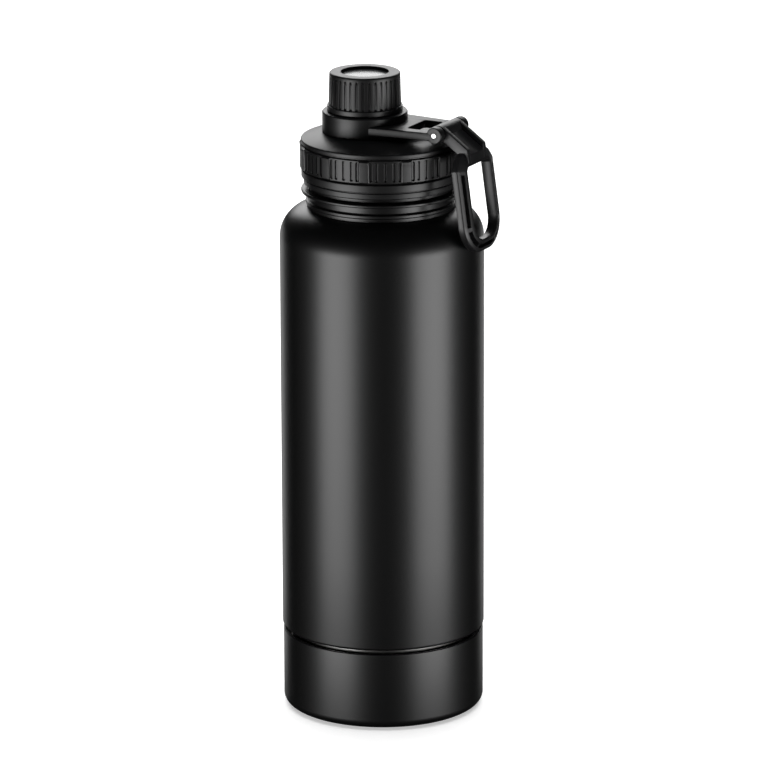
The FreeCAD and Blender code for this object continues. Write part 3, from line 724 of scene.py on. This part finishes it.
def pocket_share(across, down):
    """How far a pocket in the loop's front is open: a slot in each leg, one in each bend, one below."""
    bend_start = LOOP_BOTTOM - FOOT_RADIUS
    if down < bend_start + LEG_REACH:
        top = smooth_step(down, LEG_POCKET_TOP, LEG_POCKET_TOP + LEG_POCKET_SOFT)
        return top * (1 - smooth_step(down, LEG_POCKET_END - LEG_POCKET_SOFT, LEG_POCKET_END))
    turn = math.degrees(math.atan2(down - bend_start, abs(across) - (HALF_WIDTH - FOOT_RADIUS)))
    into_bend = smooth_step(turn, BEND_POCKET_START, BEND_POCKET_START + BEND_SOFT)
    in_bend = into_bend * (1 - smooth_step(turn, BEND_POCKET_END, BEND_POCKET_END + BEND_SOFT))
    below = smooth_step(turn, FOOT_POCKET_START, FOOT_POCKET_START + BEND_SOFT)
    return max(in_bend, below)


def front_depth(share):
    """How far the sloping front lies back, at a share of the way from the rim to the opening."""
    return (LOOP_THICKNESS - RIM_THICKNESS) * max(0, 1 - share / SLOPE_END)


def floor_depth(share, opened):
    """How far the front lies back there where a pocket is open by a share."""
    return front_depth(share) + (POCKET_FLOOR - front_depth(share)) * opened


def leg_section(width, opened):
    """Section of the loop as (share of the width, depth), from the rim over the front to the back."""
    edge = LOOP_EDGE
    back = LOOP_THICKNESS
    rim = LOOP_THICKNESS - RIM_THICKNESS
    corner = edge / width
    outer_wall = POCKET_OUTER + POCKET_DRAFT / width
    inner_wall = POCKET_INNER - POCKET_DRAFT / width
    return [
        (0, back - edge),
        (0, rim + edge),
        (corner * 0.3, rim + edge * 0.25),
        (corner, front_depth(corner)),
        (POCKET_OUTER, front_depth(POCKET_OUTER)),
        (outer_wall, floor_depth(outer_wall, opened)),
        (inner_wall, floor_depth(inner_wall, opened)),
        (POCKET_INNER, front_depth(POCKET_INNER)),
        (SLOPE_END, 0),
        (1 - corner, 0),
        (1 - corner * 0.3, edge * 0.3),
        (1, edge),
        (1, back - edge),
        (1 - corner * 0.3, back - edge * 0.3),
        (1 - corner, back),
        (corner, back),
        (corner * 0.3, back - edge * 0.3),
    ]


def loop_frame():
    """The loop's legs, bends and foot: its section swept round its opening."""
    outside, inside = leg_outlines()
    vertices = []
    for outer, inner in zip(outside, inside):
        middle = (outer + inner) / 2
        section = leg_section((outer - inner).length, pocket_share(middle.x, middle.y))
        for share, deep in section:
            spot = outer.lerp(inner, share)
            vertices.append(from_loop(FACE_X - deep, spot.x, spot.y))
    count = len(outside)
    sides = len(vertices) // count
    faces = []
    for index in range(count):
        start = index * sides
        after = (index + 1) % count * sides
        for side in range(sides):
            beside = (side + 1) % sides
            faces.append([start + side, start + beside, after + beside, after + side])
    return vertices, faces


def barrel():
    """The loop's part of the hinge."""
    return crosswise(rounded([
        (BARREL_BORE, -BARREL_HALF),
        (BARREL_RADIUS, -BARREL_HALF, 0.4),
        (BARREL_RADIUS, BARREL_HALF, 0.4),
        (BARREL_BORE, BARREL_HALF),
    ]))


def along_slope(run, rise):
    """A point given along and above the link's slope, as (out, up)."""
    return (
        run * math.cos(LINK_SLOPE) + rise * math.sin(LINK_SLOPE),
        rise * math.cos(LINK_SLOPE) - run * math.sin(LINK_SLOPE),
    )


def link(start, end, recess):
    """Part of the sloping link from the hinge barrel to the loop's top, its upper face sunk by recess."""
    under = BARREL_RADIUS - LINK_THICKNESS
    upper = BARREL_RADIUS - recess
    front_x = FACE_X - 0.1
    back_x = FACE_X - LOOP_THICKNESS + LINK_OVERLAP
    bottom = -WINDOW_TOP + 0.1
    upper_end = (front_x - upper * math.sin(LINK_SLOPE)) / math.cos(LINK_SLOPE)
    under_end = (back_x - under * math.sin(LINK_SLOPE)) / math.cos(LINK_SLOPE)
    outline = rounded([
        along_slope(0, upper),
        (*along_slope(upper_end, upper), 0.6),
        (front_x, bottom),
        (back_x, bottom),
        along_slope(under_end, under),
        along_slope(0, under),
    ])
    vertices, faces = slab([outline], start, end, 0.3)
    return [from_loop(x, z, -y) for x, y, z in vertices], faces


def carry_loop():
    """The loop, and the barrel and link that carry it; the link is sunk between its two cheeks."""
    cheek_inner = BARREL_HALF - LINK_CHEEK
    shape = joined(
        loop_frame(),
        barrel(),
        link(-BARREL_HALF, -cheek_inner, 0),
        link(cheek_inner, BARREL_HALF, 0),
        link(-cheek_inner - LINK_OVERLAP, cheek_inner + LINK_OVERLAP, LINK_RECESS),
    )
    place_piece("loop", shape, "loop", LOOP_PLASTIC, "carry_loop")


# ---- the spout cap ----

CAP_RIBS = 36
CAP_ROWS = 44
CAP_STEPS_PER_RIB = 16
CAP_INNER = 14.6
CAP_SIDE_FROM = 14.9
CAP_FOOT_RADIUS = 16.6
CAP_CEILING = 284.4
RIB_FOOT = 273.4
RIB_HEAD = 286.6
RIB_RADIUS = 15.95
RIB_TAPER = 0.35
GROOVE_FLOOR = 15.5
GROOVE_TAPER = 0.6
GROOVE_TOP = 285.6
PIT_HEIGHT = 285.5
PIT_DEPTH = 0.8


def cap_relief(angle, radius, height):
    """Radius of the cap's side: broad ribs, narrow grooves, and a pit at the head of each groove."""
    if not RIB_FOOT < height < RIB_HEAD or radius < CAP_SIDE_FROM:
        return radius
    share = (height - RIB_FOOT) / (RIB_HEAD - RIB_FOOT)
    floor_radius = GROOVE_FLOOR - GROOVE_TAPER * share
    pitch = 2 * math.pi / CAP_RIBS
    across = ((angle / pitch) % 1 - 0.5) * pitch * RIB_RADIUS
    groove = 1 - smooth_step(abs(across), 0.35, 0.75)
    above_foot = smooth_step(height, RIB_FOOT, RIB_FOOT + 0.6)
    ends = above_foot * (1 - smooth_step(height, GROOVE_TOP - 0.7, GROOVE_TOP))
    pit = 1 - smooth_step(math.hypot(across, height - PIT_HEIGHT), 0.4, 0.7)
    return radius - max((radius - floor_radius) * groove * ends, PIT_DEPTH * pit)


def cap_body():
    """The spout cap, with a recess in its top for the light disc."""
    bottom = low("cap_shell").z
    top = high("cap_shell").z
    recess_floor = low("cap_top_disc").z
    recess = high("cap_top_disc").x - SPOUT_X + 0.2
    section = rounded([
        (CAP_INNER, bottom),
        (CAP_FOOT_RADIUS, bottom, 0.3),
        (CAP_FOOT_RADIUS, RIB_FOOT, 0.4),
        (RIB_RADIUS, RIB_FOOT),
    ], closed=False)
    for row in range(1, CAP_ROWS):
        share = row / CAP_ROWS
        section.append((RIB_RADIUS - RIB_TAPER * share, RIB_FOOT + (RIB_HEAD - RIB_FOOT) * share))
    section += rounded([
        (15.6, RIB_HEAD),
        (15.5, top, 0.8),
        (recess, top, 0.3),
        (recess, recess_floor),
        (0, recess_floor),
    ], closed=False)
    section += [(0, CAP_CEILING), (CAP_INNER, CAP_CEILING)]
    shape = turned(section, SPOUT_X, steps=CAP_RIBS * CAP_STEPS_PER_RIB, relief=cap_relief)
    place_piece("cap_body", shape, "cap", LID_PLASTIC, "cap_shell")


def cap_disc():
    """The light disc in the cap's top."""
    bottom = low("cap_top_disc").z
    top = high("cap_top_disc").z
    radius = high("cap_top_disc").x - SPOUT_X
    section = rounded([(0, bottom), (radius, bottom), (radius, top, 0.15), (0, top)], closed=False)
    shape = turned(section, SPOUT_X, closed=False)
    place_piece("cap_disc", shape, "cap", CAP_DISC, "cap_top_disc")


# ---- the studio ----

CAMERA_AZIMUTH = math.radians(28)
CAMERA_ELEVATION = math.radians(15.69)
CAMERA_DISTANCE = 2.6
CAMERA_ROLL = math.radians(-0.222)
CAMERA_LENS = 278
CAMERA_SENSOR = 36
AIM_ACROSS = -0.00109
AIM_HEIGHT = 0.1488
LIGHT_AIM_HEIGHT = 0.15
SKY_AS_LIGHT = 0.012
FLOOR_HALF = 30000
FLOOR_GAP = 0.0001
FLOOR_GLOW = 0.45


def camera():
    """The one camera, which looks down at the bottle with the hinge on its right."""
    level = math.cos(CAMERA_ELEVATION)
    back = Vector((
        math.sin(CAMERA_AZIMUTH) * level,
        -math.cos(CAMERA_AZIMUTH) * level,
        math.sin(CAMERA_ELEVATION),
    ))
    right = Vector((math.cos(CAMERA_AZIMUTH), math.sin(CAMERA_AZIMUTH), 0))
    data = bpy.data.cameras.new("camera")
    data.lens = CAMERA_LENS
    data.sensor_width = CAMERA_SENSOR
    data.clip_end = 100
    holder = bpy.data.objects.new("camera", data)
    axes = Matrix((right, back.cross(right), back)).transposed().to_4x4()
    target = right * AIM_ACROSS + Vector((0, 0, AIM_HEIGHT))
    place = Matrix.Translation(target + back * CAMERA_DISTANCE)
    holder.matrix_world = place @ axes @ Matrix.Rotation(CAMERA_ROLL, 4, "Z")
    bpy.context.scene.collection.objects.link(holder)
    bpy.context.scene.camera = holder


def softbox(name, turn, distance, height, size, power, in_gloss=True):
    """An area light aimed at the bottle, at an angle in degrees round from the camera's side."""
    data = bpy.data.lights.new(name, "AREA")
    data.shape = "RECTANGLE"
    data.size, data.size_y = size
    data.energy = power
    lamp = bpy.data.objects.new(name, data)
    angle = CAMERA_AZIMUTH + math.radians(turn)
    lamp.location = (distance * math.sin(angle), -distance * math.cos(angle), height)
    aim = Vector((0, 0, LIGHT_AIM_HEIGHT)) - lamp.location
    lamp.rotation_euler = aim.to_track_quat("-Z", "Y").to_euler()
    lamp.visible_camera = False
    lamp.visible_glossy = in_gloss
    bpy.context.scene.collection.objects.link(lamp)


def studio():
    """Two strips for the body's highlights, two rims, a light behind, and one above for the ground."""
    softbox("strip_left", -52, 1.1, -0.06, (0.80, 0.42), 8.6)
    softbox("strip_right", 57, 1.1, -0.06, (0.84, 0.42), 8.9)
    softbox("rim_left", -155, 1.6, -0.2, (0.5, 0.6), 1.2)
    softbox("rim_right", 155, 1.6, -0.2, (0.5, 0.6), 0.8)
    softbox("backdrop", 180, 1.6, 0.85, (1.5, 0.7), 12)
    softbox("overhead", 180, 0.3, 1.8, (2.4, 2.4), 55, in_gloss=False)


def sky():
    """White to the eye, and dim as a light."""
    world = bpy.data.worlds.new("studio")
    world.use_nodes = True
    nodes = world.node_tree.nodes
    links = world.node_tree.links
    background = nodes["Background"]
    background.inputs["Color"].default_value = (1, 1, 1, 1)
    path = nodes.new("ShaderNodeLightPath")
    strength = nodes.new("ShaderNodeMapRange")
    strength.inputs["To Min"].default_value = SKY_AS_LIGHT
    strength.inputs["To Max"].default_value = 1.0
    links.new(path.outputs["Is Camera Ray"], strength.inputs["Value"])
    links.new(strength.outputs["Result"], background.inputs["Strength"])
    bpy.context.scene.world = world


def floor():
    """A wide white ground with a faint glow, which stays out of reflections and casts no shadow."""
    half = FLOOR_HALF
    vertices = [(-half, -half, 0), (half, -half, 0), (half, half, 0), (-half, half, 0)]
    mesh = bpy.data.meshes.new("floor")
    mesh.from_pydata([Vector(point) * MM for point in vertices], [], [(0, 1, 2, 3)])
    ground = bpy.data.objects.new("floor", mesh)
    ground.location.z = cad_box[0][2] - FLOOR_GAP
    bpy.context.scene.collection.objects.link(ground)
    material = finish("floor", (0.85, 0.85, 0.85), 0.9, 5, 0.01, specular=0.0)
    shader = material.node_tree.nodes["Principled BSDF"]
    shader.inputs["Emission Color"].default_value = (1, 1, 1, 1)
    shader.inputs["Emission Strength"].default_value = FLOOR_GLOW
    mesh.materials.append(material)
    ground.visible_glossy = False
    ground.visible_shadow = False


paint_carried_nodes()
bottle_shell()
base_cup_shell()
foot_pad_disc()
lid_cover()
grip()
collar()
yoke()
pin()
carry_loop()
cap_body()
cap_disc()
camera()
studio()
sky()
floor()
bpy.context.scene.view_settings.view_transform = "Standard"
